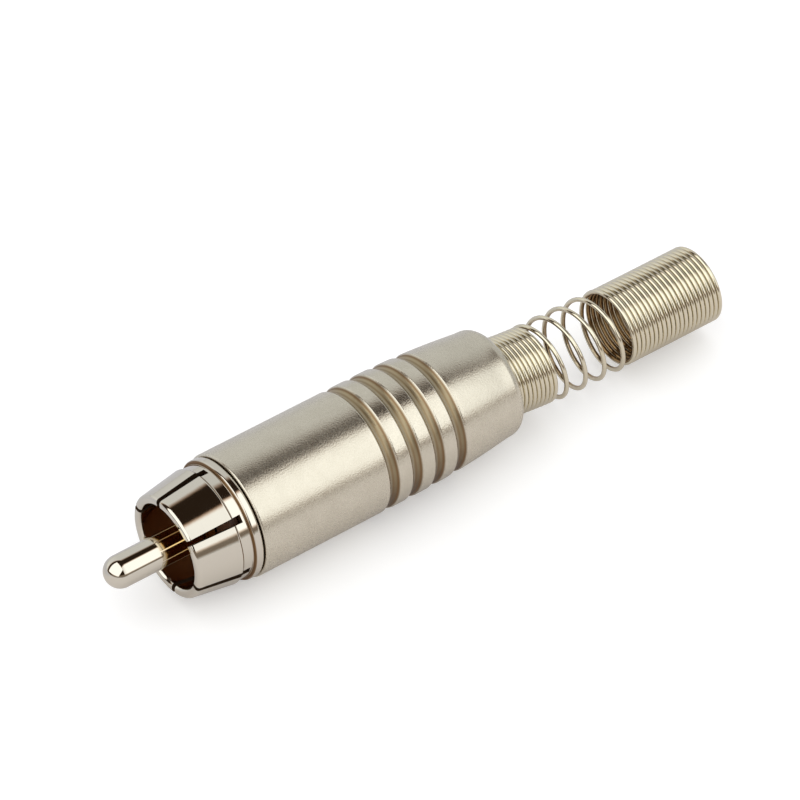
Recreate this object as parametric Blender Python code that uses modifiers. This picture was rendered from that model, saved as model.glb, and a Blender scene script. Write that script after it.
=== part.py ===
"""A screw-on phono plug with a coil spring for its strain relief.

The plug lies on its barrel, with its axis along X, the pin towards -X and the cable end towards +X.
Every piece is turned, stamped or wound round one axis, so each is drawn round the local Z of an
empty that stands at the tip of the pin. Along that axis z = 0 is the pin's tip, and z grows
towards the cable.
"""

import math

import bmesh
import bpy
from mathutils import Matrix

# Seats and running fits. Metres, as all sizes below.
GAP = 0.00025
MERGE = 0.000002

# Centre pin: a turned pin, riveted over at its rear.
PIN_RADIUS = 0.00159
PIN_REACH = 0.00665
SHANK_RADIUS = 0.0011
RIVET_RADIUS = 0.0018
RIVET_LENGTH = 0.0006

# Insulating washers and the solder tag that the rivet clamps.
FRONT_WASHER_THICKNESS = 0.0008
SPIGOT_WALL = 0.0005
REAR_WASHER_THICKNESS = 0.0007
REAR_WASHER_RADIUS = 0.0036
TAG_SHEET = 0.0003
TAG_RADIUS = 0.0023
TAG_LENGTH = 0.0055
TAG_CHORD = 0.0017

# Outer contact: slotted crown, flange and threaded neck, turned as one piece.
CAVITY_RADIUS = 0.00495
CAVITY_WALL = 0.0004
CROWN_STEP = 0.00048
CROWN_LENGTH = 0.0045
CROWN_ANGLE = math.radians(8.5)
CROWN_BEVEL = 0.00045
PETAL_WALL = 0.00095
RIM_ROUND = 0.00036
GROOVE_LENGTH = 0.00085
SLOT_COUNT = 6
SLOT_WIDTH = 0.0008
SLOT_MOUTH = 0.0005
SLOT_ANGLE = math.radians(18.0)
SLOT_MARGIN = 0.0001
FLANGE_THICKNESS = 0.00095
FLANGE_STEP = 0.00016
FLANGE_ROUND = 0.00025
WEB_THICKNESS = 0.001
NECK_WALL = 0.00105
NECK_LENGTH = 0.0061
NECK_CHAMFER = 0.0003
LIP_THICKNESS = 0.0004
LIP_OVERLAP = 0.0002

# Ground lug: a stamped and rolled strip with a ring, a strap and two clamp ears.
CABLE_RADIUS = 0.00345
LUG_SHEET = 0.00045
LUG_RIM = 0.0006
STRAP_LENGTH = 0.0085
STRAP_DEPTH = 0.0029
CLAMP_LENGTH = 0.006
CLAMP_MOUTH = 0.0044
WIRE_HOLE_RADIUS = 0.0008

# Insulating sleeve and barrel.
SLEEVE_WALL = 0.00055
BARREL_WALL = 0.00077
BARREL_LENGTH = 0.0305
FRONT_CHAMFER = 0.00015
THREAD_RELIEF = 0.0008
GROOVE_COUNT = 4
GROOVE_START = 0.0139
TAPER_START = 0.01735
GROOVE_PITCH = 0.00263
GROOVE_WIDTH = 0.0012
GROOVE_DEPTH = 0.00038
GROOVE_SLOPE = 0.00014
REAR_WALL = 0.00034
REAR_ROUND = 0.001
SHOULDER_THICKNESS = 0.0011

# Strain-relief spring: one wire, wound close, then open, then close again.
WIRE_RADIUS = 0.00023
SPRING_RADIUS = 0.00375
OPEN_RADIUS = 0.00388
CLOSE_PITCH = 0.000503
REAR_PITCH = 0.00052
OPEN_PITCH = 0.00227
FLARE_TURNS = 1.0
NARROWING_TURNS = 0.5
FRONT_TURNS = 12.2
OPEN_TURNS = 4.46
REAR_TURNS = 20.7
BLEND_TURNS = 0.5
SPRING_ANGLE = math.radians(-56.0)
DROOP = 0.0011
DROOP_LENGTH = 0.0045
POINTS_PER_TURN = 11

# Sides of the turned pieces and of the drilled hole.
BARREL_SIDES = 24
CONTACT_SIDES = 30
SLEEVE_SIDES = 24
WASHER_SIDES = 20
PIN_SIDES = 16
HOLE_SIDES = 12

# Radii that follow from the fits.
SHANK_HOLE = SHANK_RADIUS + GAP
SPIGOT_RADIUS = SHANK_HOLE + SPIGOT_WALL
WEB_HOLE = SPIGOT_RADIUS + GAP
GROOVE_RADIUS = CAVITY_RADIUS + CAVITY_WALL
CROWN_RADIUS = GROOVE_RADIUS + CROWN_STEP
RIM_RADIUS = CROWN_RADIUS - CROWN_LENGTH * math.tan(CROWN_ANGLE)
LUG_RADIUS = CABLE_RADIUS + LUG_SHEET
NECK_BORE = LUG_RADIUS + GAP
SEAT_RADIUS = LUG_RADIUS + LUG_RIM + GAP
LIP_RADIUS = LUG_RADIUS + LUG_RIM - LIP_OVERLAP
NECK_RADIUS = NECK_BORE + NECK_WALL
SLEEVE_BORE = LUG_RADIUS + GAP
SLEEVE_RADIUS = SLEEVE_BORE + SLEEVE_WALL
BARREL_BORE = SLEEVE_RADIUS + GAP
THREAD_BORE = NECK_RADIUS + GAP
BARREL_RADIUS = THREAD_BORE + BARREL_WALL
FLANGE_RADIUS = BARREL_RADIUS - FLANGE_STEP
REAR_RADIUS = BARREL_BORE + REAR_WALL
SPRING_BORE = SPRING_RADIUS + WIRE_RADIUS + GAP
FLARE_RADIUS = BARREL_BORE - GAP - WIRE_RADIUS

# Places along the axis, from the pin's tip.
RIM_Z = PIN_REACH
CROWN_END = RIM_Z + CROWN_LENGTH
GROOVE_Z = CROWN_END + CROWN_BEVEL
FLANGE_Z = GROOVE_Z + GROOVE_LENGTH
FLANGE_END = FLANGE_Z + FLANGE_THICKNESS
WEB_END = FLANGE_Z + WEB_THICKNESS
NECK_END = FLANGE_END + NECK_LENGTH
FRONT_WASHER_END = FLANGE_Z - GAP
FRONT_WASHER_Z = FRONT_WASHER_END - FRONT_WASHER_THICKNESS
REAR_WASHER_Z = WEB_END + GAP
REAR_WASHER_END = REAR_WASHER_Z + REAR_WASHER_THICKNESS
TAG_Z = REAR_WASHER_END + GAP
TAG_FACE_END = TAG_Z + TAG_SHEET
RIVET_Z = TAG_FACE_END + GAP
RIVET_END = RIVET_Z + RIVET_LENGTH
LIP_Z = NECK_END - LIP_THICKNESS
LUG_Z = LIP_Z - GAP - LUG_SHEET
SEAT_Z = LUG_Z - GAP
STRAP_Z = LUG_Z + LUG_SHEET
CLAMP_Z = STRAP_Z + STRAP_LENGTH
CLAMP_END = CLAMP_Z + CLAMP_LENGTH
BARREL_Z = FLANGE_END + GAP
BARREL_END = BARREL_Z + BARREL_LENGTH
THREAD_END = NECK_END + THREAD_RELIEF
GRIP_Z = BARREL_Z + GROOVE_START
TAPER_Z = BARREL_Z + TAPER_START
SHOULDER_Z = BARREL_END - SHOULDER_THICKNESS
SPRING_Z = SHOULDER_Z - GAP - WIRE_RADIUS - FLARE_TURNS * CLOSE_PITCH
SLEEVE_Z = NECK_END + GAP
SLEEVE_END = SPRING_Z - WIRE_RADIUS - GAP

AXIS_HEIGHT = BARREL_RADIUS * math.cos(math.pi / BARREL_SIDES)

NICKEL = (0.70, 0.68, 0.61, 1.0)
BRIGHT_NICKEL = (0.78, 0.76, 0.70, 1.0)
TINNED = (0.72, 0.72, 0.70, 1.0)
PHENOLIC = (0.16, 0.075, 0.035, 1.0)
CLEAR_PLASTIC = (0.80, 0.80, 0.78, 1.0)


def new_collection(name):
    collection = bpy.data.collections.new(name)
    bpy.context.scene.collection.children.link(collection)
    return collection


def material(name, color, roughness, metallic):
    result = bpy.data.materials.new(name)
    result.use_nodes = True
    shader = result.node_tree.nodes["Principled BSDF"]
    shader.inputs["Base Color"].default_value = color
    shader.inputs["Roughness"].default_value = roughness
    shader.inputs["Metallic"].default_value = metallic
    return result


def add_object(name, data, finish):
    result = bpy.data.objects.new(name, data)
    plug.objects.link(result)
    result.parent = axis
    data.materials.append(finish)
    return result


def arc(center_z, center_r, radius, start, end, count):
    """Points of an arc as (z, r). An angle of 0 points to the rear, 90 degrees outwards."""
    points = []
    for i in range(count + 1):
        angle = math.radians(start + (end - start) * i / count)
        points.append((center_z + radius * math.cos(angle), center_r + radius * math.sin(angle)))
    return points


def turned(name, outline, sides, finish, closed=True):
    """Turn an outline of (z, r) points that runs forwards along its outer side."""
    mesh = bpy.data.meshes.new(name)
    shape = bmesh.new()
    verts = [shape.verts.new((r, 0.0, z)) for z, r in outline]
    for first, second in zip(verts, verts[1:]):
        shape.edges.new((first, second))
    if closed:
        shape.edges.new((verts[-1], verts[0]))
    shape.to_mesh(mesh)
    shape.free()
    result = add_object(name, mesh, finish)
    # Half a side of turn puts a flat side, not a corner, on the floor.
    result.rotation_euler.z = math.pi / sides
    screw = result.modifiers.new("Turn", "SCREW")
    screw.angle = math.tau
    screw.steps = sides
    screw.render_steps = sides
    screw.use_merge_vertices = True
    screw.merge_threshold = MERGE
    screw.use_smooth_shade = False
    return result


def cutter_object(name, shape):
    mesh = bpy.data.meshes.new(name)
    bmesh.ops.recalc_face_normals(shape, faces=shape.faces)
    shape.to_mesh(mesh)
    shape.free()
    result = bpy.data.objects.new(name, mesh)
    cutters.objects.link(result)
    result.parent = axis
    result.hide_render = True
    result.display_type = "WIRE"
    return result


def add_block(shape, low, high):
    """Add a box between two corners given as (x, y, z) in the axis frame."""
    corners = bmesh.ops.create_cube(shape, size=1.0)["verts"]
    size = [b - a for a, b in zip(low, high)]
    middle = [(a + b) / 2 for a, b in zip(low, high)]
    bmesh.ops.scale(shape, vec=size, verts=corners)
    bmesh.ops.translate(shape, vec=middle, verts=corners)
    return corners


def cut(target, cutter):
    boolean = target.modifiers.new(cutter.name, "BOOLEAN")
    boolean.operation = "DIFFERENCE"
    boolean.solver = "EXACT"
    boolean.object = cutter


def build_centre_pin():
    """Rounded nose, plain pin, then a thinner shank with a riveted head."""
    outline = [
        (RIVET_END, 0.0),
        (RIVET_END, RIVET_RADIUS - RIVET_LENGTH / 2),
        (RIVET_Z + RIVET_LENGTH / 2, RIVET_RADIUS),
        (RIVET_Z, RIVET_RADIUS),
        (RIVET_Z, SHANK_RADIUS),
        (FRONT_WASHER_Z - GAP, SHANK_RADIUS),
        (FRONT_WASHER_Z - GAP, PIN_RADIUS),
    ]
    outline += arc(PIN_RADIUS, 0.0, PIN_RADIUS, 90, 180, 5)[:-1]
    outline.append((0.0, 0.0))
    finish = material("bright_nickel_pin", BRIGHT_NICKEL, 0.12, 1.0)
    return turned("centre_pin", outline, PIN_SIDES, finish, closed=False)


def build_front_insulator():
    """A washer on the floor of the crown, with a spigot through the web."""
    spigot_end = WEB_END - GAP
    outline = [
        (spigot_end, SHANK_HOLE),
        (spigot_end, SPIGOT_RADIUS),
        (FRONT_WASHER_END, SPIGOT_RADIUS),
        (FRONT_WASHER_END, CAVITY_RADIUS - GAP),
        (FRONT_WASHER_Z, CAVITY_RADIUS - GAP),
        (FRONT_WASHER_Z, SHANK_HOLE),
    ]
    finish = material("brown_phenolic_front", PHENOLIC, 0.55, 0.0)
    return turned("front_insulator", outline, WASHER_SIDES, finish)


def build_rear_insulator():
    outline = [
        (REAR_WASHER_END, SHANK_HOLE),
        (REAR_WASHER_END, REAR_WASHER_RADIUS),
        (REAR_WASHER_Z, REAR_WASHER_RADIUS),
        (REAR_WASHER_Z, SHANK_HOLE),
    ]
    finish = material("brown_phenolic_rear", PHENOLIC, 0.55, 0.0)
    return turned("rear_insulator", outline, WASHER_SIDES, finish)


def build_solder_tag():
    """A flat ring under the rivet, with a curved tongue that the core is soldered to."""
    tag_end = TAG_Z + TAG_LENGTH
    outline = [
        (tag_end, TAG_RADIUS - TAG_SHEET),
        (tag_end, TAG_RADIUS),
        (TAG_Z, TAG_RADIUS),
        (TAG_Z, SHANK_HOLE),
        (TAG_FACE_END, SHANK_HOLE),
        (TAG_FACE_END, TAG_RADIUS - TAG_SHEET),
    ]
    finish = material("tinned_brass_tag", TINNED, 0.35, 1.0)
    tag = turned("solder_tag", outline, WASHER_SIDES, finish)
    shape = bmesh.new()
    reach = TAG_RADIUS + GAP
    add_block(shape, (-TAG_CHORD, -reach, TAG_FACE_END), (reach, reach, tag_end + GAP))
    cut(tag, cutter_object("tag_cutter", shape))
    return tag


def build_outer_contact():
    """Crown, flange, web and neck. Six saw slots part the crown into petals.

    The petals are pressed in towards the rim, so each slot is narrower at its mouth.
    """
    rim_inner = RIM_RADIUS - PETAL_WALL
    outline = [
        (NECK_END, LIP_RADIUS),
        (NECK_END, NECK_RADIUS - NECK_CHAMFER),
        (NECK_END - NECK_CHAMFER, NECK_RADIUS),
        (FLANGE_END, NECK_RADIUS),
        (FLANGE_END, FLANGE_RADIUS),
    ]
    outline += arc(FLANGE_Z + FLANGE_ROUND, FLANGE_RADIUS - FLANGE_ROUND, FLANGE_ROUND, 90, 180, 2)
    outline += [
        (FLANGE_Z, GROOVE_RADIUS),
        (GROOVE_Z, GROOVE_RADIUS),
        (CROWN_END, CROWN_RADIUS),
    ]
    outline += arc(RIM_Z + RIM_ROUND, RIM_RADIUS - RIM_ROUND, RIM_ROUND, 90, 180, 2)
    outline += arc(RIM_Z + RIM_ROUND, rim_inner + RIM_ROUND, RIM_ROUND, 180, 270, 2)
    outline += [
        (CROWN_END, CAVITY_RADIUS),
        (FLANGE_Z, CAVITY_RADIUS),
        (FLANGE_Z, WEB_HOLE),
        (WEB_END, WEB_HOLE),
        (WEB_END, NECK_BORE),
        (SEAT_Z, NECK_BORE),
        (SEAT_Z, SEAT_RADIUS),
        (LIP_Z, SEAT_RADIUS),
        (LIP_Z, LIP_RADIUS),
    ]
    finish = material("bright_nickel_contact", BRIGHT_NICKEL, 0.15, 1.0)
    contact = turned("outer_contact", outline, CONTACT_SIDES, finish)
    shape = bmesh.new()
    slot_end = FLANGE_Z - SLOT_MARGIN
    for index in range(SLOT_COUNT):
        slot = add_block(
            shape,
            (PIN_RADIUS, -SLOT_WIDTH / 2, RIM_Z - GAP),
            (CROWN_RADIUS + GAP, SLOT_WIDTH / 2, slot_end),
        )
        for corner in slot:
            if corner.co.z < RIM_Z:
                corner.co.y *= SLOT_MOUTH / SLOT_WIDTH
        turn = math.pi / 2 + SLOT_ANGLE + index * math.tau / SLOT_COUNT
        rotation = Matrix.Rotation(turn, 3, "Z")
        bmesh.ops.rotate(shape, cent=(0.0, 0.0, 0.0), matrix=rotation, verts=slot)
    cut(contact, cutter_object("slot_cutter", shape))
    return contact


def build_ground_lug():
    """The ring sits in the neck's seat under its spun lip; the ears close round the cable."""
    outline = [
        (CLAMP_END, CABLE_RADIUS),
        (CLAMP_END, LUG_RADIUS),
        (STRAP_Z, LUG_RADIUS),
        (STRAP_Z, LUG_RADIUS + LUG_RIM),
        (LUG_Z, LUG_RADIUS + LUG_RIM),
        (LUG_Z, CABLE_RADIUS),
    ]
    finish = material("tinned_brass_lug", TINNED, 0.3, 1.0)
    lug = turned("ground_lug", outline, WASHER_SIDES, finish)
    reach = LUG_RADIUS + GAP
    window = bmesh.new()
    add_block(window, (-reach, -reach, STRAP_Z), (STRAP_DEPTH, reach, CLAMP_Z))
    cut(lug, cutter_object("window_cutter", window))
    mouth = bmesh.new()
    add_block(mouth, (-reach, -CLAMP_MOUTH / 2, CLAMP_Z - GAP), (0.0, CLAMP_MOUTH / 2, CLAMP_END + GAP))
    cut(lug, cutter_object("mouth_cutter", mouth))
    hole = bmesh.new()
    bmesh.ops.create_cone(
        hole,
        cap_ends=True,
        segments=HOLE_SIDES,
        radius1=WIRE_HOLE_RADIUS,
        radius2=WIRE_HOLE_RADIUS,
        depth=reach,
    )
    sideways = Matrix.Rotation(math.pi / 2, 3, "Y")
    bmesh.ops.rotate(hole, cent=(0.0, 0.0, 0.0), matrix=sideways, verts=hole.verts)
    bmesh.ops.translate(hole, vec=(reach, 0.0, (STRAP_Z + CLAMP_Z) / 2), verts=hole.verts)
    cut(lug, cutter_object("wire_hole_cutter", hole))
    return lug


def build_insulating_sleeve():
    outline = [
        (SLEEVE_END, SLEEVE_BORE),
        (SLEEVE_END, SLEEVE_RADIUS),
        (SLEEVE_Z, SLEEVE_RADIUS),
        (SLEEVE_Z, SLEEVE_BORE),
    ]
    finish = material("clear_plastic_sleeve", CLEAR_PLASTIC, 0.25, 0.0)
    return turned("insulating_sleeve", outline, SLEEVE_SIDES, finish)


def barrel_radius(z):
    """Straight past the first groove, then drawn in along a shallow curve to the rear."""
    share = max(0.0, (z - TAPER_Z) / (BARREL_END - TAPER_Z))
    return BARREL_RADIUS - (BARREL_RADIUS - REAR_RADIUS) * share**2


def build_barrel():
    """Turned shell: threaded mouth, four grip grooves, tapered rear and an inner shoulder."""
    round_z = BARREL_END - REAR_ROUND
    outline = arc(round_z, barrel_radius(round_z) - REAR_ROUND, REAR_ROUND, 0, 90, 3)
    middle = (round_z + GRIP_Z + GROOVE_COUNT * GROOVE_PITCH) / 2
    outline.append((middle, barrel_radius(middle)))
    for index in reversed(range(GROOVE_COUNT)):
        start = GRIP_Z + index * GROOVE_PITCH
        end = start + GROOVE_WIDTH
        floor = barrel_radius((start + end) / 2) - GROOVE_DEPTH
        outline += [
            (end, barrel_radius(end)),
            (end - GROOVE_SLOPE, floor),
            (start + GROOVE_SLOPE, floor),
            (start, barrel_radius(start)),
        ]
    outline += [
        (BARREL_Z + FRONT_CHAMFER, BARREL_RADIUS),
        (BARREL_Z, BARREL_RADIUS - FRONT_CHAMFER),
        (BARREL_Z, THREAD_BORE),
        (THREAD_END, THREAD_BORE),
        (THREAD_END, BARREL_BORE),
        (SHOULDER_Z, BARREL_BORE),
        (SHOULDER_Z, SPRING_BORE),
        (BARREL_END, SPRING_BORE),
    ]
    finish = material("satin_nickel_barrel", NICKEL, 0.38, 1.0)
    return turned("barrel", outline, BARREL_SIDES, finish)


def ramp(value, start, end):
    """0 before start, 1 after end, straight between."""
    return min(1.0, max(0.0, (value - start) / (end - start)))


def spring_points():
    """The wire's centre line, in the axis frame, from its flared turns to its free end."""
    open_start = FLARE_TURNS + NARROWING_TURNS + FRONT_TURNS
    open_end = open_start + OPEN_TURNS
    turns = open_end + REAR_TURNS
    count = round(turns * POINTS_PER_TURN)
    step = 1 / POINTS_PER_TURN
    points = []
    z = SPRING_Z
    for i in range(count + 1):
        turn = i * step
        openness = min(
            ramp(turn, open_start, open_start + BLEND_TURNS),
            1 - ramp(turn, open_end - BLEND_TURNS, open_end),
        )
        narrowing = ramp(turn, FLARE_TURNS, FLARE_TURNS + NARROWING_TURNS)
        radius = FLARE_RADIUS + (SPRING_RADIUS - FLARE_RADIUS) * narrowing
        radius += (OPEN_RADIUS - SPRING_RADIUS) * openness
        angle = math.pi / 2 + SPRING_ANGLE + (turn - open_start) * math.tau
        sag = DROOP * (1 - math.exp(-max(0.0, z - BARREL_END) / DROOP_LENGTH))
        points.append((radius * math.cos(angle) + sag, radius * math.sin(angle), z))
        close_pitch = CLOSE_PITCH if turn < open_start else REAR_PITCH
        z += (close_pitch + (OPEN_PITCH - close_pitch) * openness) * step
    return points


def build_spring(points):
    curve = bpy.data.curves.new("strain_relief_spring", "CURVE")
    curve.dimensions = "3D"
    spline = curve.splines.new("POLY")
    spline.points.add(len(points) - 1)
    for target, place in zip(spline.points, points):
        target.co = (*place, 1.0)
    curve.bevel_depth = WIRE_RADIUS
    curve.bevel_resolution = 2
    curve.use_fill_caps = True
    finish = material("spring_steel_wire", NICKEL, 0.25, 1.0)
    return add_object("strain_relief_spring", curve, finish)


for old in list(bpy.data.objects):
    bpy.data.objects.remove(old, do_unlink=True)

plug = new_collection("phono_plug")
cutters = new_collection("cutters")

wire = spring_points()
plug_length = wire[-1][2] + WIRE_RADIUS

# The plug's axis: local Z runs to the rear along world X, and local X points down.
axis = bpy.data.objects.new("plug_axis", None)
plug.objects.link(axis)
axis.location = (-plug_length / 2, 0.0, AXIS_HEIGHT)
axis.rotation_euler = (0.0, math.pi / 2, 0.0)

build_centre_pin()
build_front_insulator()
build_rear_insulator()
build_solder_tag()
build_outer_contact()
build_ground_lug()
build_insulating_sleeve()
build_barrel()
build_spring(wire)
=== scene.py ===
import math

import bmesh
import bpy
from mathutils import Matrix, Vector


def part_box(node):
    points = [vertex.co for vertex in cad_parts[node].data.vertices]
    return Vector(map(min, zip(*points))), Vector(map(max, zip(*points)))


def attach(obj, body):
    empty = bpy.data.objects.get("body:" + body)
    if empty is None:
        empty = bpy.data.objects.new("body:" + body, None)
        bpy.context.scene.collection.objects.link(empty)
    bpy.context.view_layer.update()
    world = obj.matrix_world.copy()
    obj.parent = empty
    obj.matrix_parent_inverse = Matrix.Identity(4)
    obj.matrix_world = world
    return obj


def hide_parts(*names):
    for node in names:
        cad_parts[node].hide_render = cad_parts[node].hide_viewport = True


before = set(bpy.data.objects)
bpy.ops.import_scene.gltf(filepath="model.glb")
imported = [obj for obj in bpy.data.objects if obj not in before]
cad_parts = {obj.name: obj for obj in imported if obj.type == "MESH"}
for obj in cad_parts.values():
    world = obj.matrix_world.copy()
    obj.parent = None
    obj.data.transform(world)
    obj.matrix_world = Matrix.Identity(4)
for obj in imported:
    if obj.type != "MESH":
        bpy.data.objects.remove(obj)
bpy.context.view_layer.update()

# The camera
# A long lens looks down on the plug, past the tip of the pin, as in the photograph.
# The plug's axis runs along X, and every place along it is counted from the pin's tip.
MM = 0.001
PHOTO_SIZE = 800
FOCUS_PIXEL = (410.3, 422.0)
FOCUS_ALONG = 34.5 * MM
CAMERA_AZIMUTH = math.radians(-36.87)
CAMERA_ELEVATION = math.radians(43.0)
CAMERA_DISTANCE = 524 * MM

tip_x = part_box("centre_pin")[0].x
axis_z = (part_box("barrel")[0].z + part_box("barrel")[1].z) / 2

camera_data = bpy.data.cameras.new("photo_camera")
camera_data.lens = 253
camera_data.sensor_width = 36
camera = bpy.data.objects.new("photo_camera", camera_data)
bpy.context.scene.collection.objects.link(camera)
bpy.context.scene.camera = camera
bpy.context.scene.view_settings.view_transform = "Standard"

back = Vector((
    math.sin(CAMERA_AZIMUTH) * math.cos(CAMERA_ELEVATION),
    -math.cos(CAMERA_AZIMUTH) * math.cos(CAMERA_ELEVATION),
    math.sin(CAMERA_ELEVATION),
))
camera.rotation_mode = "QUATERNION"
camera.rotation_quaternion = back.to_track_quat("Z", "Y")
right = camera.rotation_quaternion @ Vector((1, 0, 0))
up = camera.rotation_quaternion @ Vector((0, 1, 0))
focus = Vector((tip_x + FOCUS_ALONG, 0, axis_z))
pixel_size = CAMERA_DISTANCE * camera_data.sensor_width / camera_data.lens / PHOTO_SIZE
aside = (PHOTO_SIZE / 2 - FOCUS_PIXEL[0]) * pixel_size
above = (FOCUS_PIXEL[1] - PHOTO_SIZE / 2) * pixel_size
camera.location = focus + back * CAMERA_DISTANCE + right * aside + up * above


# The studio
# A white table top under two softboxes: a long one on the camera's side and one beyond the pin.
# Between them hangs the dark ceiling, which draws the dark bands on the bright nickel.
class Signal:
    """A value that runs through a shader. Sums and products on it add their Math nodes."""

    def __init__(self, shader, socket):
        self.shader = shader
        self.socket = socket

    def math(self, operation, *parts):
        return self.shader.node("ShaderNodeMath", {"operation": operation}, dict(enumerate(parts)))

    def __add__(self, other):
        return self.math("ADD", self, other)

    def __sub__(self, other):
        return self.math("SUBTRACT", self, other)

    def __rsub__(self, other):
        return self.math("SUBTRACT", other, self)

    def __mul__(self, other):
        return self.math("MULTIPLY", self, other)

    def __truediv__(self, other):
        return self.math("DIVIDE", self, other)

    __radd__ = __add__
    __rmul__ = __mul__

    def rise(self, low, high):
        """0 below low and 1 above high, smooth between them."""
        values = {"Value": self, "From Min": low, "From Max": high}
        return self.shader.node("ShaderNodeMapRange", {"interpolation_type": "SMOOTHSTEP"}, values)

    def within(self, low, high, soft):
        """1 between low and high, with soft edges."""
        return self.rise(low - soft, low + soft) * (1 - self.rise(high - soft, high + soft))


class Shader:
    """A node tree, emptied but for its output."""

    def __init__(self, tree):
        self.tree = tree
        for old in list(tree.nodes):
            if not old.type.startswith("OUTPUT"):
                tree.nodes.remove(old)
        self.output = next(node for node in tree.nodes if node.type.startswith("OUTPUT"))

    def node(self, kind, settings=(), values=(), output=0):
        """Add a node with its settings, feed its sockets, and give one of its outputs."""
        made = self.tree.nodes.new(kind)
        for name, value in dict(settings).items():
            setattr(made, name, value)
        for name, value in dict(values).items():
            if isinstance(value, Signal):
                self.tree.links.new(value.socket, made.inputs[name])
            else:
                made.inputs[name].default_value = value
        return Signal(self, made.outputs[output])

    def parts(self, vector):
        """The X, Y and Z of a vector."""
        outputs = self.node("ShaderNodeSeparateXYZ", values={"Vector": vector}).socket.node.outputs
        return [Signal(self, socket) for socket in outputs]

    def mixed(self, factor, first, second):
        """A colour between two others."""
        settings = {"data_type": "RGBA"}
        mix = self.node("ShaderNodeMix", settings, {"Factor": factor}, 2).socket.node
        for socket, color in ((mix.inputs[6], first), (mix.inputs[7], second)):
            if isinstance(color, Signal):
                self.tree.links.new(color.socket, socket)
            else:
                socket.default_value = (*color, 1)
        return Signal(self, mix.outputs[2])

    def finish(self, surface):
        self.tree.links.new(surface.socket, self.output.inputs["Surface"])


CEILING_TINT = (1.0, 0.60, 0.36)
CEILING_LIGHT = 0.024
WALL_LIGHT = 0.78
WALL_FADE = 0.22
GAP_TINT = (1.0, 0.80, 0.64)
GAP_LIGHT = 0.22
TABLE_LIGHT = 0.60
SOFTBOX_LIGHT = 1.45
SOFTBOX_FADE = 1.75
PLAIN_LIGHT = 1.1
# The places of edges are tangents, across and up, seen from the plug towards a softbox's middle.
LONG_BOX_TILT = math.radians(137.5)
LONG_BOX_SIDES = (-0.04, 1.4)
LONG_BOX_MIDDLE = 0.5
LEFT_TOP_EDGE = (0.33, 0.57)
LEFT_TOP_SLOPE = 0.5
RIGHT_TOP_EDGE = (0.88, 1.04)
RIGHT_TOP_SLOPE = -0.25
LOW_EDGE = (-0.61, -0.43)
LOW_SLOPE = -0.12
END_BOX_TILT = math.radians(43.0)
END_BOX_SIDES = (-1.15, 0.6)
END_BOX_HEIGHTS = (-0.6, 0.95)
FACING_FADE = 0.05
# The bright back wall fades into the ceiling where a direction's lean towards it is in this range.
WALL_EDGE = (-0.15, 0.12)
WALL_DROP = 0.792
WALL_LEAN = 0.80
WALL_BEND_AT = 0.12
WALL_BEND = 0.07
WALL_FOOT_HEIGHT = 0.3
WALL_FOOT_SHADE = 0.08
HORIZON = (-0.02, 0.08)

world = bpy.data.worlds.new("studio")
world.use_nodes = True
bpy.context.scene.world = world
studio = Shader(world.node_tree)
x, y, z = studio.parts(studio.node("ShaderNodeTexCoord"))

long_facing = y * math.cos(LONG_BOX_TILT) + z * math.sin(LONG_BOX_TILT)
long_across = x / long_facing
long_height = (y * math.sin(LONG_BOX_TILT) - z * math.cos(LONG_BOX_TILT)) / long_facing
left_top = (long_height - long_across * LEFT_TOP_SLOPE).rise(*LEFT_TOP_EDGE)
right_top = (long_height - long_across * RIGHT_TOP_SLOPE).rise(*RIGHT_TOP_EDGE)
above_low = (long_height - long_across * LOW_SLOPE).rise(*LOW_EDGE)
low = (1 - above_low) * long_facing.rise(0.0, FACING_FADE)
long_box = long_across.within(*LONG_BOX_SIDES, 0.03) * (1 - left_top) * (1 - right_top)
long_box = long_box * (1 - low) * long_facing.rise(0.0, FACING_FADE)

end_facing = z * math.sin(END_BOX_TILT) - x * math.cos(END_BOX_TILT)
end_across = y / end_facing
end_height = (x * math.sin(END_BOX_TILT) + z * math.cos(END_BOX_TILT)) / end_facing
end_box = end_across.within(*END_BOX_SIDES, 0.04) * end_height.within(*END_BOX_HEIGHTS, 0.06)
end_box = end_box * end_facing.rise(0.0, FACING_FADE)

boxes = 1 - (1 - long_box) * (1 - end_box)
off_center = long_across - LONG_BOX_MIDDLE
glare = SOFTBOX_LIGHT - SOFTBOX_FADE * off_center * off_center * long_box
bend = x.math("MAXIMUM", x, WALL_BEND_AT) * WALL_BEND
wall = (y - z * WALL_DROP + bend + x * WALL_LEAN).rise(*WALL_EDGE)
foot = WALL_FOOT_SHADE * (1 - z.rise(0.0, WALL_FOOT_HEIGHT))
wall_light = (WALL_LIGHT - WALL_FADE * x) * (1 - foot)
room = CEILING_LIGHT + (GAP_LIGHT - CEILING_LIGHT) * low
room = room * (1 - wall) + wall_light * wall
above = z.rise(*HORIZON)
sky = room * (1 - boxes) + glare * boxes
around = sky * above + TABLE_LIGHT * (1 - above)
dark = above * (1 - boxes) * (1 - wall)
white = (1.0, 1.0, 1.0)
tint = studio.mixed(dark, white, studio.mixed(low, CEILING_TINT, GAP_TINT))
seen = studio.node("ShaderNodeLightPath", output="Is Camera Ray")
soft = studio.node("ShaderNodeLightPath", output="Is Diffuse Ray")
light = (around * (1 - soft) + PLAIN_LIGHT * soft) * (1 - seen) + seen
plain = 1 - (1 - soft) * (1 - seen)
values = {"Color": studio.mixed(plain, tint, white), "Strength": light}
studio.finish(studio.node("ShaderNodeBackground", values=values))

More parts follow.
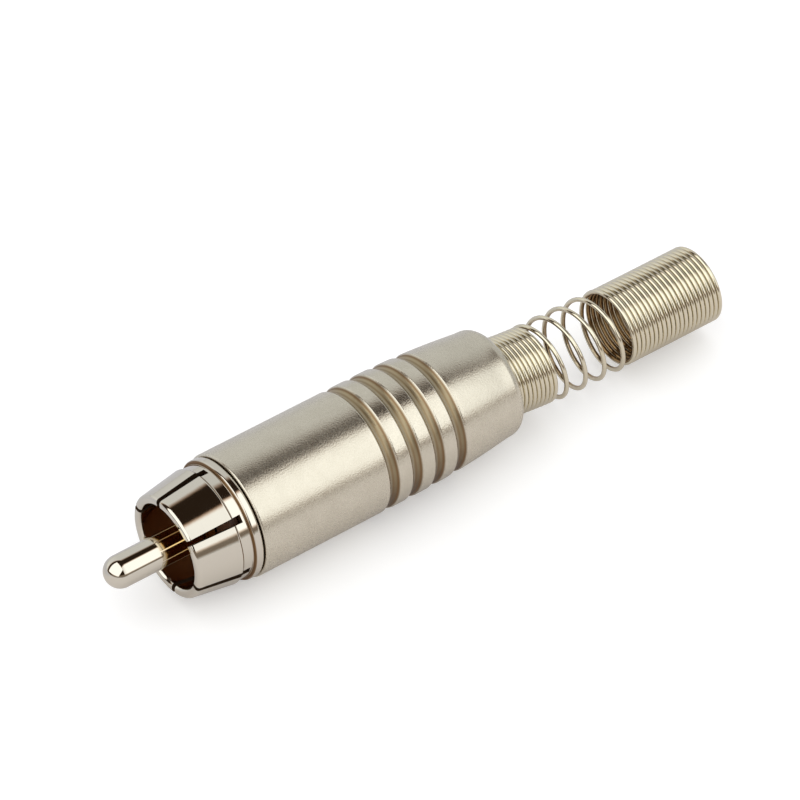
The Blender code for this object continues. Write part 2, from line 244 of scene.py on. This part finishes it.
# The table is plain white to the camera. Mirrored in the nickel it is darker, a little pink on the
# camera's side and a little blue on the far side.
TABLE_RADIUS = 0.6
TABLE_DROP = 0.05 * MM
FAR_SIDE = 20 * MM
TABLE_WHITE = (0.82, 0.82, 0.82, 1)
TABLE_GLOW = 0.27
MIRRORED_WHITE = (0.665, 0.63, 0.625)
MIRRORED_FAR = (0.55, 0.55, 0.59)
MIRRORED_GLOW = 0.03

shape = bmesh.new()
bmesh.ops.create_circle(shape, cap_ends=True, segments=64, radius=TABLE_RADIUS)
bmesh.ops.translate(shape, verts=shape.verts, vec=(0, 0, -TABLE_DROP))
mesh = bpy.data.meshes.new("table_top")
shape.to_mesh(mesh)
shape.free()
table = bpy.data.objects.new("table_top", mesh)
bpy.context.scene.collection.objects.link(table)

paper = bpy.data.materials.new("white_paper")
paper.use_nodes = True
shader = Shader(paper.node_tree)
seen = shader.node("ShaderNodeLightPath", output="Is Camera Ray")
mirrored = shader.node("ShaderNodeLightPath", output="Is Glossy Ray")
depth = shader.parts(shader.node("ShaderNodeTexCoord", output="Object"))[1]
mirrored_color = shader.mixed(depth.rise(0.0, FAR_SIDE), MIRRORED_WHITE, MIRRORED_FAR)
white = shader.node("ShaderNodeBsdfDiffuse", values={"Color": TABLE_WHITE})
grey = shader.node("ShaderNodeBsdfDiffuse", values={"Color": mirrored_color})
lit = shader.node("ShaderNodeMixShader", values={0: mirrored, 1: white, 2: grey})
strength = seen * TABLE_GLOW + mirrored * MIRRORED_GLOW
glow = shader.node("ShaderNodeEmission", values={"Strength": strength})
shader.finish(shader.node("ShaderNodeAddShader", values={0: glow, 1: lit}))
mesh.materials.append(paper)


# The barrel
# A brass shell turned on a lathe, blasted to a satin and nickel plated. Four grip grooves are cut
# round it, and its mouth has the thread that screws onto the contact's neck.
BARREL_START = 13.51 * MM
BARREL_END = 44.15 * MM
BARREL_RADIUS = 6.22 * MM
REAR_RADIUS = 5.29 * MM
REAR_ROUND = 1.0 * MM
FRONT_ROUND = 0.2 * MM
GROOVE_START = 27.52 * MM
GROOVE_COUNT = 4
GROOVE_PITCH = 2.63 * MM
GROOVE_WIDTH = 1.3 * MM
GROOVE_DEPTH = 0.32 * MM
GROOVE_STEPS = 10
LAND_ROUND = 0.16 * MM
TAPER_START = 31.0 * MM
THREAD_BORE = 5.45 * MM
THREAD_END = 20.3 * MM
BARREL_BORE = 4.95 * MM
SHOULDER_START = 43.05 * MM
SPRING_BORE = 4.23 * MM
EDGE = 0.06 * MM
TURN_STEPS = 144
TAPER_POINTS = 10
# Two dark brown lines lie at these shares of a groove's width. One runs across the middle, and the
# one in the rear corner is stain and painted shade.
MIDDLE_BROWN_LINE = (0.42, 0.54)
REAR_STAIN_AND_SHADE = (0.76, 0.94)

NICKEL = (0.745, 0.705, 0.59)
DULL_NICKEL = (0.675, 0.635, 0.525)
OLIVE_NICKEL = (0.45, 0.375, 0.235)
# The olive of the groove floors; the darker one is painted shade for their underside.
OLIVE_IN_PAINTED_SHADE = (0.13, 0.083, 0.048)
BROWN_STAIN_AND_SHADE = (0.22, 0.13, 0.06)


def rounded(corners, steps=6, support=0.02 * MM):
    """The outline through corners of (along, radius, rounding), each corner rounded by an arc.

    A support point on each side of an arc keeps the shading of the straight stretch flat.
    """
    outline = []
    for index, (along, radius, rounding) in enumerate(corners):
        corner = Vector((along, radius))
        if not rounding:
            outline.append(corner)
            continue
        before = (Vector(corners[index - 1][:2]) - corner).normalized()
        after = (Vector(corners[(index + 1) % len(corners)][:2]) - corner).normalized()
        half = before.angle(after) / 2
        reach = rounding / math.tan(half)
        center = corner + (before + after).normalized() * rounding / math.sin(half)
        spoke = corner + before * reach - center
        last_spoke = corner + after * reach - center
        sweep = math.atan2(spoke.cross(last_spoke), spoke.dot(last_spoke))
        outline.append(corner + before * (reach + support))
        for step in range(steps + 1):
            outline.append(center + Matrix.Rotation(sweep * step / steps, 2) @ spoke)
        outline.append(corner + after * (reach + support))
    return outline


def turned(outline, steps=TURN_STEPS, closed=True, start=0.0):
    """A bmesh of an outline of (along, radius) points, spun once round the plug's axis."""
    made = bmesh.new()
    verts = [made.verts.new((tip_x + along, 0, axis_z + radius)) for along, radius in outline]
    pairs = list(zip(verts, verts[1:]))
    if closed:
        pairs.append((verts[-1], verts[0]))
    edges = [made.edges.new(pair) for pair in pairs]
    center = (tip_x, 0, axis_z)
    if start:
        turn = Matrix.Rotation(start, 3, "X")
        bmesh.ops.rotate(made, cent=center, matrix=turn, verts=verts)
    bmesh.ops.spin(
        made,
        geom=verts + edges,
        cent=center,
        axis=(1, 0, 0),
        angle=math.tau,
        steps=steps,
        use_merge=True,
    )
    bmesh.ops.remove_doubles(made, verts=made.verts, dist=0.0001 * MM)
    bmesh.ops.recalc_face_normals(made, faces=made.faces)
    return made


def show(name, made, material, sharp=math.radians(35)):
    """Put a finished bmesh in the scene as a smooth-shaded object."""
    data = bpy.data.meshes.new(name)
    made.to_mesh(data)
    made.free()
    data.shade_smooth()
    data.set_sharp_from_angle(angle=sharp)
    data.materials.append(material)
    result = bpy.data.objects.new(name, data)
    bpy.context.scene.collection.objects.link(result)
    return result


def new_material(name):
    """A material with an empty shader to fill."""
    made = bpy.data.materials.new(name)
    made.use_nodes = True
    return made, Shader(made.node_tree)


def noise(shader, place, scale, detail=2.0):
    values = {"Vector": place, "Scale": scale, "Detail": detail}
    return shader.node("ShaderNodeTexNoise", values=values)


def bump(shader, height, strength, distance):
    """A normal for the shader from a height between 0 and 1."""
    values = {"Height": height, "Strength": strength, "Distance": distance}
    return shader.node("ShaderNodeBump", values=values)


def radius_at(shader, place):
    """How far along the plug, and how far from its axis, a surface point lies."""
    px, py, pz = shader.parts(place)
    off = pz - axis_z
    squared = py * py + off * off
    return px - tip_x, squared.math("SQRT", squared)


def barrel_radius(along):
    """Straight past the first groove, then drawn in along a shallow curve."""
    share = max(0.0, (along - TAPER_START) / (BARREL_END - TAPER_START))
    return BARREL_RADIUS - (BARREL_RADIUS - REAR_RADIUS) * share**2


# A groove's section is one shallow arc.
groove_arc = (GROOVE_WIDTH**2 / 4 + GROOVE_DEPTH**2) / (2 * GROOVE_DEPTH)
groove_angle = math.asin(GROOVE_WIDTH / 2 / groove_arc)
corners = [(BARREL_START, BARREL_RADIUS, FRONT_ROUND)]
for index in range(GROOVE_COUNT):
    start = GROOVE_START + index * GROOVE_PITCH
    end = start + GROOVE_WIDTH
    floor = (barrel_radius(start) + barrel_radius(end)) / 2 - GROOVE_DEPTH
    corners.append((start, barrel_radius(start), LAND_ROUND))
    for step in range(1, GROOVE_STEPS):
        angle = groove_angle * (2 * step / GROOVE_STEPS - 1)
        along = (start + end) / 2 + groove_arc * math.sin(angle)
        corners.append((along, floor + groove_arc * (1 - math.cos(angle)), 0))
    corners.append((end, barrel_radius(end), LAND_ROUND))
taper_start = corners[-1][0]
taper_end = BARREL_END - REAR_ROUND
for index in range(1, TAPER_POINTS):
    along = taper_start + (taper_end - taper_start) * index / TAPER_POINTS
    corners.append((along, barrel_radius(along), 0))
corners += [
    (BARREL_END, barrel_radius(taper_end), REAR_ROUND),
    (BARREL_END, SPRING_BORE, EDGE),
    (SHOULDER_START, SPRING_BORE, EDGE),
    (SHOULDER_START, BARREL_BORE, EDGE),
    (THREAD_END, BARREL_BORE, EDGE),
    (THREAD_END, THREAD_BORE, EDGE),
    (BARREL_START, THREAD_BORE, EDGE),
]

satin_nickel, shader = new_material("satin_nickel")
place = shader.node("ShaderNodeTexCoord", output="Object")
along, away = radius_at(shader, place)
taper = (along - TAPER_START) / (BARREL_END - TAPER_START)
taper = taper.math("MAXIMUM", taper, 0.0)
depth = BARREL_RADIUS - (BARREL_RADIUS - REAR_RADIUS) * taper * taper - away
grip_end = GROOVE_START + (GROOVE_COUNT - 1) * GROOVE_PITCH + GROOVE_WIDTH
grip = along.within(GROOVE_START - 0.2 * MM, grip_end + 0.43 * MM, 0.1 * MM)
pitches = (along - GROOVE_START) / GROOVE_PITCH
across = pitches.math("FRACT", pitches) * (GROOVE_PITCH / GROOVE_WIDTH)
groove = depth.rise(0.02 * MM, 0.20 * MM) * grip * (0.35 + 0.65 * across.rise(0.15, 0.4))
# The brown lines in each groove. The rear one is partly painted shade of the groove's rear corner.
stain_and_shade = across.within(*MIDDLE_BROWN_LINE, 0.08) * 0.6 + across.within(*REAR_STAIN_AND_SHADE, 0.08) * 0.85
stain_and_shade = stain_and_shade * groove
blast = noise(shader, place, 6500.0, 2.0)
cloud = noise(shader, place, 700.0, 3.0)
grain = 0.6 * blast + 0.4 * cloud
tone = shader.mixed(grain.rise(0.35, 0.65), DULL_NICKEL, NICKEL)
# The groove floors are painted darker towards the bottom of the barrel. This is painted shade, and
# the cloud noise ruffles its edge.
height = shader.parts(place)[2] - axis_z
olive_with_painted_shade = shader.mixed((height + 2 * MM * cloud).rise(-3 * MM, 6 * MM), OLIVE_IN_PAINTED_SHADE, OLIVE_NICKEL)
tone = shader.mixed(groove, tone, olive_with_painted_shade)
land = grip * (1 - groove)
surface = shader.node(
    "ShaderNodeBsdfPrincipled",
    values={
        "Base Color": shader.mixed(stain_and_shade, tone, BROWN_STAIN_AND_SHADE),
        "Metallic": 1.0,
        "Roughness": 0.23 + 0.10 * blast + 0.12 * groove - 0.05 * land,
        "Normal": bump(shader, blast, 1.0, 0.013 * MM),
    },
)
shader.finish(surface)

barrel = show("barrel_shell", turned(rounded(corners)), satin_nickel)
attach(barrel, "shell")
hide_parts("barrel")


# The outer contact
# Crown, flange and threaded neck are one brass turning, polished and nickel plated. Six saw cuts
# run from the rim into the waist behind the cone and leave six springy petals, which are pressed
# in at the rim.
RIM_START = 6.65 * MM
RIM_RADIUS = 5.157 * MM
RIM_ROUND = 0.36 * MM
PETAL_WALL = 0.95 * MM
CONE_END = 11.15 * MM
CONE_RADIUS = 5.83 * MM
BEVEL_END = 11.36 * MM
WAIST_RADIUS = 5.70 * MM
FLANGE_START = 12.45 * MM
FLANGE_END = 13.43 * MM
FLANGE_RADIUS = 6.06 * MM
FLANGE_ROUND = 0.28 * MM
WAIST_ROUND = 0.25 * MM
CAVITY_RADIUS = 4.95 * MM
WEB_HOLE = 2.10 * MM
WEB_END = 13.45 * MM
NECK_BORE = 4.15 * MM
NECK_END = 19.50 * MM
NECK_ROOT = 4.98 * MM
SEAT_START = 18.15 * MM
SEAT_RADIUS = 4.75 * MM
LIP_START = 19.10 * MM
LIP_RADIUS = 4.30 * MM
SLOT_COUNT = 6
SLOT_MOUTH = 0.5 * MM
SLOT_WIDTH = 0.8 * MM
SLOT_END = 12.15 * MM
SLOT_ANGLE = math.radians(18.0)
SLOT_STEPS = 4
CONTACT_STEPS = 240
TOLERANCE = 0.001 * MM

BRIGHT_NICKEL = (0.735, 0.70, 0.605)
BROWN_CAVITY_REFLECTION = (0.60, 0.34, 0.15)
SAWN_SHADE_DARK = (0.06, 0.035, 0.02)
SAWN_SHADE_LIGHT = (0.14, 0.09, 0.055)

corners = [
    (RIM_START, RIM_RADIUS, RIM_ROUND),
    (CONE_END, CONE_RADIUS, 0.18 * MM),
    (BEVEL_END, WAIST_RADIUS, WAIST_ROUND),
    (SLOT_END, WAIST_RADIUS, 0),
    (FLANGE_START, WAIST_RADIUS, 0.1 * MM),
    (FLANGE_START, FLANGE_RADIUS, FLANGE_ROUND),
    (FLANGE_END, FLANGE_RADIUS, FLANGE_ROUND),
    (FLANGE_END, NECK_ROOT, EDGE),
    (NECK_END, NECK_ROOT, 0.15 * MM),
    (NECK_END, LIP_RADIUS, EDGE),
    (LIP_START, LIP_RADIUS, EDGE),
    (LIP_START, SEAT_RADIUS, EDGE),
    (SEAT_START, SEAT_RADIUS, EDGE),
    (SEAT_START, NECK_BORE, EDGE),
    (WEB_END, NECK_BORE, EDGE),
    (WEB_END, WEB_HOLE, EDGE),
    (FLANGE_START, WEB_HOLE, EDGE),
    (FLANGE_START, CAVITY_RADIUS, EDGE),
    (SLOT_END, CAVITY_RADIUS, 0),
    (CONE_END, CAVITY_RADIUS, 0.1 * MM),
    (RIM_START, RIM_RADIUS - PETAL_WALL, RIM_ROUND),
]
slot_step = math.tau / CONTACT_STEPS
half_slot = SLOT_STEPS * slot_step / 2
# Slots are counted from +Y round to +Z, and the spin starts from the outline at +Z.
first_side = SLOT_ANGLE - half_slot - math.pi / 2
shape = turned(rounded(corners), CONTACT_STEPS, start=first_side)


def slot_offset(point):
    """The angle from the middle of the nearest slot to a point, seen along the axis."""
    angle = math.atan2(point.z - axis_z, point.y) - SLOT_ANGLE
    pitch = math.tau / SLOT_COUNT
    return (angle + pitch / 2) % pitch - pitch / 2


def in_front(point):
    return point.x - tip_x < SLOT_END + TOLERANCE


def in_slot(point):
    return point.x - tip_x < SLOT_END - TOLERANCE


sawn = []
for face in shape.faces:
    middle = face.calc_center_median()
    if in_front(middle) and abs(slot_offset(middle)) < half_slot:
        sawn.append(face)
bmesh.ops.delete(shape, geom=sawn, context="FACES")
for vert in shape.verts:
    offset = slot_offset(vert.co)
    if in_front(vert.co) and abs(abs(offset) - half_slot) < slot_step / 4:
        reach = math.hypot(vert.co.y, vert.co.z - axis_z)
        share = (vert.co.x - tip_x - RIM_START) / (SLOT_END - RIM_START)
        width = SLOT_MOUTH + (SLOT_WIDTH - SLOT_MOUTH) * share
        wanted = math.copysign(math.asin(width / 2 / reach), offset)
        turn = Matrix.Rotation(wanted - offset, 3, "X")
        bmesh.ops.rotate(shape, cent=(tip_x, 0, axis_z), matrix=turn, verts=[vert])
sides = {}
for edge in [edge for edge in shape.edges if edge.is_boundary]:
    first, second = (vert.co for vert in edge.verts)
    if in_slot(first) or in_slot(second):
        middle = (first + second) / 2
        offset = slot_offset(middle)
        angle = math.atan2(middle.z - axis_z, middle.y) - offset
        sides.setdefault((round(angle, 2), offset > 0), []).append(edge)
walls = []
for chain in sides.values():
    ends = [vert for edge in chain for vert in edge.verts if not in_slot(vert.co)]
    closing = shape.edges.new(ends)
    walls += bmesh.ops.contextual_create(shape, geom=chain + [closing])["faces"]
rest = [edge for edge in shape.edges if edge.is_boundary]
walls += bmesh.ops.holes_fill(shape, edges=rest, sides=0)["faces"]
for face in walls:
    face.material_index = 1
bmesh.ops.recalc_face_normals(shape, faces=shape.faces)

bright_nickel, shader = new_material("bright_nickel")
place = shader.node("ShaderNodeTexCoord", output="Object")
along, away = radius_at(shader, place)
polish = noise(shader, place, 900.0, 3.0)
behind_rim = along.rise(RIM_START + 0.3 * MM, RIM_START + 0.6 * MM)
inside = (1 - away.rise(CAVITY_RADIUS, CAVITY_RADIUS + 0.03 * MM)) * behind_rim
# The corner before the flange and the flange's far edge by the barrel are painted dark brown. This
# is dirt, and painted shade in that recess and in the gap.
corner = along.within(FLANGE_START - 0.06 * MM, FLANGE_START + 0.12 * MM, 0.05 * MM)
far_edge_dirt_and_shade = along.within(FLANGE_END - 0.12 * MM, FLANGE_END + 0.1 * MM, 0.05 * MM)
corner = (corner + 0.8 * far_edge_dirt_and_shade) * away.rise(CAVITY_RADIUS, CAVITY_RADIUS + 0.05 * MM)
# Inside the cavity the nickel is painted brown. This is a painted reflection of the brown washers,
# and painted shade.
tone = shader.mixed(inside, BRIGHT_NICKEL, BROWN_CAVITY_REFLECTION)
surface = shader.node(
    "ShaderNodeBsdfPrincipled",
    values={
        "Base Color": shader.mixed(corner, tone, BROWN_STAIN_AND_SHADE),
        "Metallic": 1.0,
        "Roughness": 0.05 + 0.04 * polish + 0.12 * inside + 0.35 * corner,
        "Normal": bump(shader, polish, 1.0, 0.004 * MM),
    },
)
shader.finish(surface)

# The sawn slot walls are painted nearly black. This is painted shade inside the narrow cuts, and the
# saw marks come in as noise.
sawn_brass_in_painted_shade, shader = new_material("sawn_brass_in_painted_shade")
place = shader.node("ShaderNodeTexCoord", output="Object")
saw_marks = noise(shader, place, 4000.0, 2.0)
surface = shader.node(
    "ShaderNodeBsdfPrincipled",
    values={
        "Base Color": shader.mixed(saw_marks, SAWN_SHADE_DARK, SAWN_SHADE_LIGHT),
        "Metallic": 1.0,
        "Roughness": 0.45 + 0.2 * saw_marks,
    },
)
shader.finish(surface)

contact = show("contact_crown", shape, bright_nickel)
contact.data.materials.append(sawn_brass_in_painted_shade)
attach(contact, "contact_set")
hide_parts("outer_contact")


# The neck's thread
# A fine right-hand V thread is cut on the neck, and the barrel screws down over it to the flange.
# It shows only while the barrel is unscrewed.
THREAD_START = 14.2 * MM
THREAD_PITCH = 0.75 * MM
THREAD_CREST = 5.34 * MM
THREAD_ROOT = NECK_ROOT - 0.05 * MM
THREAD_TURNS = 6
THREAD_STEPS = 72

half_root = THREAD_PITCH * 0.46
half_crest = THREAD_PITCH * 0.06
shape = bmesh.new()
ridge = [
    (THREAD_START - half_root, THREAD_ROOT),
    (THREAD_START - half_crest, THREAD_CREST),
    (THREAD_START + half_crest, THREAD_CREST),
    (THREAD_START + half_root, THREAD_ROOT),
]
verts = [shape.verts.new((tip_x + along, 0, axis_z + radius)) for along, radius in ridge]
face = shape.faces.new(verts)
bmesh.ops.spin(
    shape,
    geom=[face],
    cent=(tip_x, 0, axis_z),
    axis=(1, 0, 0),
    dvec=(THREAD_PITCH / THREAD_STEPS, 0, 0),
    angle=math.tau * THREAD_TURNS,
    steps=THREAD_STEPS * THREAD_TURNS,
)
bmesh.ops.recalc_face_normals(shape, faces=shape.faces)
thread = show("neck_thread", shape, bright_nickel)
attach(thread, "contact_set")


# The centre pin
# A solid brass pin with a round nose, plated like the crown. Its thinner shank runs back through
# the washers and is riveted over the solder tag.
PIN_RADIUS = 1.59 * MM
PIN_STEP = 11.15 * MM
SHANK_RADIUS = 1.1 * MM
RIVET_START = 15.2 * MM
RIVET_END = 15.8 * MM
RIVET_RADIUS = 1.8 * MM
RIVET_ROUND = 0.3 * MM
GOLDEN_REFLECTION_START = 4.9 * MM
GOLDEN_REFLECTION_END = 6.6 * MM
PIN_STEPS = 96
NOSE_POINTS = 18

GOLDEN_PAINTED_REFLECTION = (0.74, 0.50, 0.20)

outline = []
for index in range(NOSE_POINTS + 1):
    angle = math.pi / 2 * index / NOSE_POINTS
    outline.append((PIN_RADIUS * (1 - math.cos(angle)), PIN_RADIUS * math.sin(angle)))
body = rounded([
    (PIN_RADIUS, PIN_RADIUS, 0),
    (PIN_STEP, PIN_RADIUS, EDGE),
    (PIN_STEP, SHANK_RADIUS, EDGE),
    (RIVET_START, SHANK_RADIUS, EDGE),
    (RIVET_START, RIVET_RADIUS, EDGE),
    (RIVET_END, RIVET_RADIUS, RIVET_ROUND),
    (RIVET_END, 0, 0),
])
outline += [tuple(point) for point in body[1:]]

pin_nickel, shader = new_material("pin_nickel")
place = shader.node("ShaderNodeTexCoord", output="Object")
along, away = radius_at(shader, place)
polish = noise(shader, place, 1200.0, 3.0)
# Towards its root the pin is painted golden. This is a painted reflection of the crown's cavity and
# petals around it.
golden_reflection = along.rise(GOLDEN_REFLECTION_START, GOLDEN_REFLECTION_END)
surface = shader.node(
    "ShaderNodeBsdfPrincipled",
    values={
        "Base Color": shader.mixed(golden_reflection, BRIGHT_NICKEL, GOLDEN_PAINTED_REFLECTION),
        "Metallic": 1.0,
        "Roughness": 0.05 + 0.04 * polish,
    },
)
shader.finish(surface)

pin = show("pin", turned(outline, PIN_STEPS, closed=False), pin_nickel)
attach(pin, "contact_set")
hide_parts("centre_pin")


# The insulating washers
# Two brown laminate washers hold the pin clear of the contact. The front one has a spigot that
# passes through the web.
FRONT_WASHER_START = 11.40 * MM
FRONT_WASHER_END = 12.20 * MM
FRONT_WASHER_RADIUS = 4.70 * MM
SPIGOT_END = 13.20 * MM
SPIGOT_RADIUS = 1.85 * MM
SHANK_HOLE = 1.35 * MM
REAR_WASHER_START = 13.70 * MM
REAR_WASHER_END = 14.40 * MM
REAR_WASHER_RADIUS = 3.60 * MM

RESIN_BROWN = (0.035, 0.012, 0.005)
FIBRE_BROWN = (0.11, 0.045, 0.02)

laminate, shader = new_material("brown_laminate")
place = shader.node("ShaderNodeTexCoord", output="Object")
fibre = noise(shader, place, 3000.0, 4.0)
surface = shader.node(
    "ShaderNodeBsdfPrincipled",
    values={
        "Base Color": shader.mixed(fibre, RESIN_BROWN, FIBRE_BROWN),
        "Roughness": 0.45 + 0.2 * fibre,
        "Normal": bump(shader, fibre, 0.3, 0.01 * MM),
    },
)
shader.finish(surface)

front_corners = [
    (FRONT_WASHER_START, FRONT_WASHER_RADIUS, EDGE),
    (FRONT_WASHER_END, FRONT_WASHER_RADIUS, EDGE),
    (FRONT_WASHER_END, SPIGOT_RADIUS, EDGE),
    (SPIGOT_END, SPIGOT_RADIUS, EDGE),
    (SPIGOT_END, SHANK_HOLE, EDGE),
    (FRONT_WASHER_START, SHANK_HOLE, EDGE),
]
front_washer = show("front_washer", turned(rounded(front_corners)), laminate)
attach(front_washer, "contact_set")
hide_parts("front_insulator")

rear_corners = [
    (REAR_WASHER_START, REAR_WASHER_RADIUS, EDGE),
    (REAR_WASHER_END, REAR_WASHER_RADIUS, EDGE),
    (REAR_WASHER_END, SHANK_HOLE, EDGE),
    (REAR_WASHER_START, SHANK_HOLE, EDGE),
]
rear_washer = show("rear_washer", turned(rounded(rear_corners)), laminate)
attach(rear_washer, "contact_set")
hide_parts("rear_insulator")


# The strain-relief spring
# One bright wire, wound close where it leaves the barrel, then open for about four turns and close
# again to its end. It sags a little, and its first turn is flared to catch behind the shoulder.
WIRE_RADIUS = 0.23 * MM
SPRING_START = 42.067 * MM
SPRING_RADIUS = 3.75 * MM
FLARE_RADIUS = 4.47 * MM
OPEN_RADIUS = 3.88 * MM
CLOSE_PITCH = 0.503 * MM
REAR_PITCH = 0.52 * MM
OPEN_PITCH = 2.27 * MM
FLARE_TURNS = 1.0
NARROWING_TURNS = 0.5
FRONT_TURNS = 12.2
OPEN_TURNS = 4.46
REAR_TURNS = 20.7
BLEND_TURNS = 0.5
SPRING_ANGLE = math.radians(-56.0)
DROOP = 1.1 * MM
DROOP_LENGTH = 4.5 * MM
POINTS_PER_TURN = 44
WIRE_SIDES = 14

WIRE_NICKEL = (0.79, 0.735, 0.575)
WIRE_PAINTED_SHADE = (0.32, 0.21, 0.10)


def ramp(value, start, end):
    """0 before start, 1 after end, straight between."""
    return min(1.0, max(0.0, (value - start) / (end - start)))


open_start = FLARE_TURNS + NARROWING_TURNS + FRONT_TURNS
open_end = open_start + OPEN_TURNS
step = 1 / POINTS_PER_TURN
line = []
along = SPRING_START


def sag_at(along):
    """How far the coil's axis hangs below the plug's."""
    return DROOP * (1 - math.exp(-max(0.0, along - BARREL_END) / DROOP_LENGTH))


for index in range(round((open_end + REAR_TURNS) * POINTS_PER_TURN) + 1):
    turn = index * step
    opening = ramp(turn, open_start, open_start + BLEND_TURNS)
    openness = min(opening, 1 - ramp(turn, open_end - BLEND_TURNS, open_end))
    narrowing = ramp(turn, FLARE_TURNS, FLARE_TURNS + NARROWING_TURNS)
    radius = FLARE_RADIUS + (SPRING_RADIUS - FLARE_RADIUS) * narrowing
    radius += (OPEN_RADIUS - SPRING_RADIUS) * openness
    angle = SPRING_ANGLE + (turn - open_start) * math.tau
    line.append((
        tip_x + along,
        radius * math.cos(angle),
        axis_z - sag_at(along) + radius * math.sin(angle),
    ))
    close_pitch = CLOSE_PITCH if turn < open_start else REAR_PITCH
    along += (close_pitch + (OPEN_PITCH - close_pitch) * openness) * step

curve = bpy.data.curves.new("spring_line", "CURVE")
curve.dimensions = "3D"
spline = curve.splines.new("POLY")
spline.points.add(len(line) - 1)
for target, point in zip(spline.points, line):
    target.co = (*point, 1)
curve.bevel_depth = WIRE_RADIUS
curve.bevel_resolution = WIRE_SIDES // 2 - 2
curve.use_fill_caps = True
guide = bpy.data.objects.new("spring_line", curve)
bpy.context.scene.collection.objects.link(guide)
wire = bpy.data.meshes.new_from_object(guide.evaluated_get(bpy.context.evaluated_depsgraph_get()))
bpy.data.objects.remove(guide, do_unlink=True)
shape = bmesh.new()
shape.from_mesh(wire)
bmesh.ops.remove_doubles(shape, verts=shape.verts, dist=0.0001 * MM)
bmesh.ops.recalc_face_normals(shape, faces=shape.faces)

outward = shape.verts.layers.float.new("outward")
for vert in shape.verts:
    height = vert.co.z - axis_z + sag_at(vert.co.x - tip_x)
    vert[outward] = (math.hypot(vert.co.y, height) - SPRING_RADIUS) / WIRE_RADIUS

wire_nickel, shader = new_material("wire_nickel")
place = shader.node("ShaderNodeTexCoord", output="Object")
drawn = noise(shader, place, 1500.0, 3.0)
outer = shader.node("ShaderNodeAttribute", {"attribute_name": "outward"}, output="Fac")
# The wire is painted dark brown on its inner side, towards the coil's axis. This is painted shade
# between the turns, and noise ruffles its edge.
unshaded = (outer + 0.6 * drawn).rise(-0.3, 0.5)
surface = shader.node(
    "ShaderNodeBsdfPrincipled",
    values={
        "Base Color": shader.mixed(unshaded, WIRE_PAINTED_SHADE, WIRE_NICKEL),
        "Metallic": 1.0,
        "Roughness": 0.10 + 0.06 * drawn,
    },
)
shader.finish(surface)

spring = show("relief_spring", shape, wire_nickel)
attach(spring, "shell")
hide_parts("strain_relief_spring")


# The solder tag and the ground lug
# Two tinned brass stampings that the barrel hides: the tag is riveted to the pin, and the lug closes
# round the cable. Both keep the frame's own solids.
TIN = (0.66, 0.64, 0.58)
TIN_DULL = (0.47, 0.45, 0.40)

tinned_brass, shader = new_material("tinned_brass")
place = shader.node("ShaderNodeTexCoord", output="Object")
crystals = noise(shader, place, 1100.0, 3.0)
surface = shader.node(
    "ShaderNodeBsdfPrincipled",
    values={
        "Base Color": shader.mixed(crystals.rise(0.35, 0.65), TIN_DULL, TIN),
        "Metallic": 1.0,
        "Roughness": 0.28 + 0.2 * crystals,
        "Normal": bump(shader, crystals, 0.4, 0.01 * MM),
    },
)
shader.finish(surface)

for name in ("solder_tag", "ground_lug"):
    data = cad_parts[name].data
    data.materials.clear()
    data.materials.append(tinned_brass)
    data.shade_smooth()
    data.set_sharp_from_angle(angle=math.radians(25))


# The insulating sleeve
# A clear plastic tube lies in the barrel, between its bore and the lug.
SLEEVE_START = 19.75 * MM
SLEEVE_END = 41.58 * MM
SLEEVE_BORE = 4.15 * MM
SLEEVE_RADIUS = 4.70 * MM

CLEAR_DARK = (0.52, 0.50, 0.45)
CLEAR_LIGHT = (0.66, 0.65, 0.61)

clear_plastic, shader = new_material("clear_plastic")
place = shader.node("ShaderNodeTexCoord", output="Object")
haze = noise(shader, place, 500.0, 3.0)
surface = shader.node(
    "ShaderNodeBsdfPrincipled",
    values={
        "Base Color": shader.mixed(haze, CLEAR_DARK, CLEAR_LIGHT),
        "Roughness": 0.22 + 0.2 * haze,
        "Alpha": 0.35 + 0.2 * haze,
    },
)
shader.finish(surface)

sleeve_corners = [
    (SLEEVE_START, SLEEVE_RADIUS, EDGE),
    (SLEEVE_END, SLEEVE_RADIUS, EDGE),
    (SLEEVE_END, SLEEVE_BORE, EDGE),
    (SLEEVE_START, SLEEVE_BORE, EDGE),
]
sleeve = show("plastic_sleeve", turned(rounded(sleeve_corners)), clear_plastic)
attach(sleeve, "sleeve")
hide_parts("insulating_sleeve")
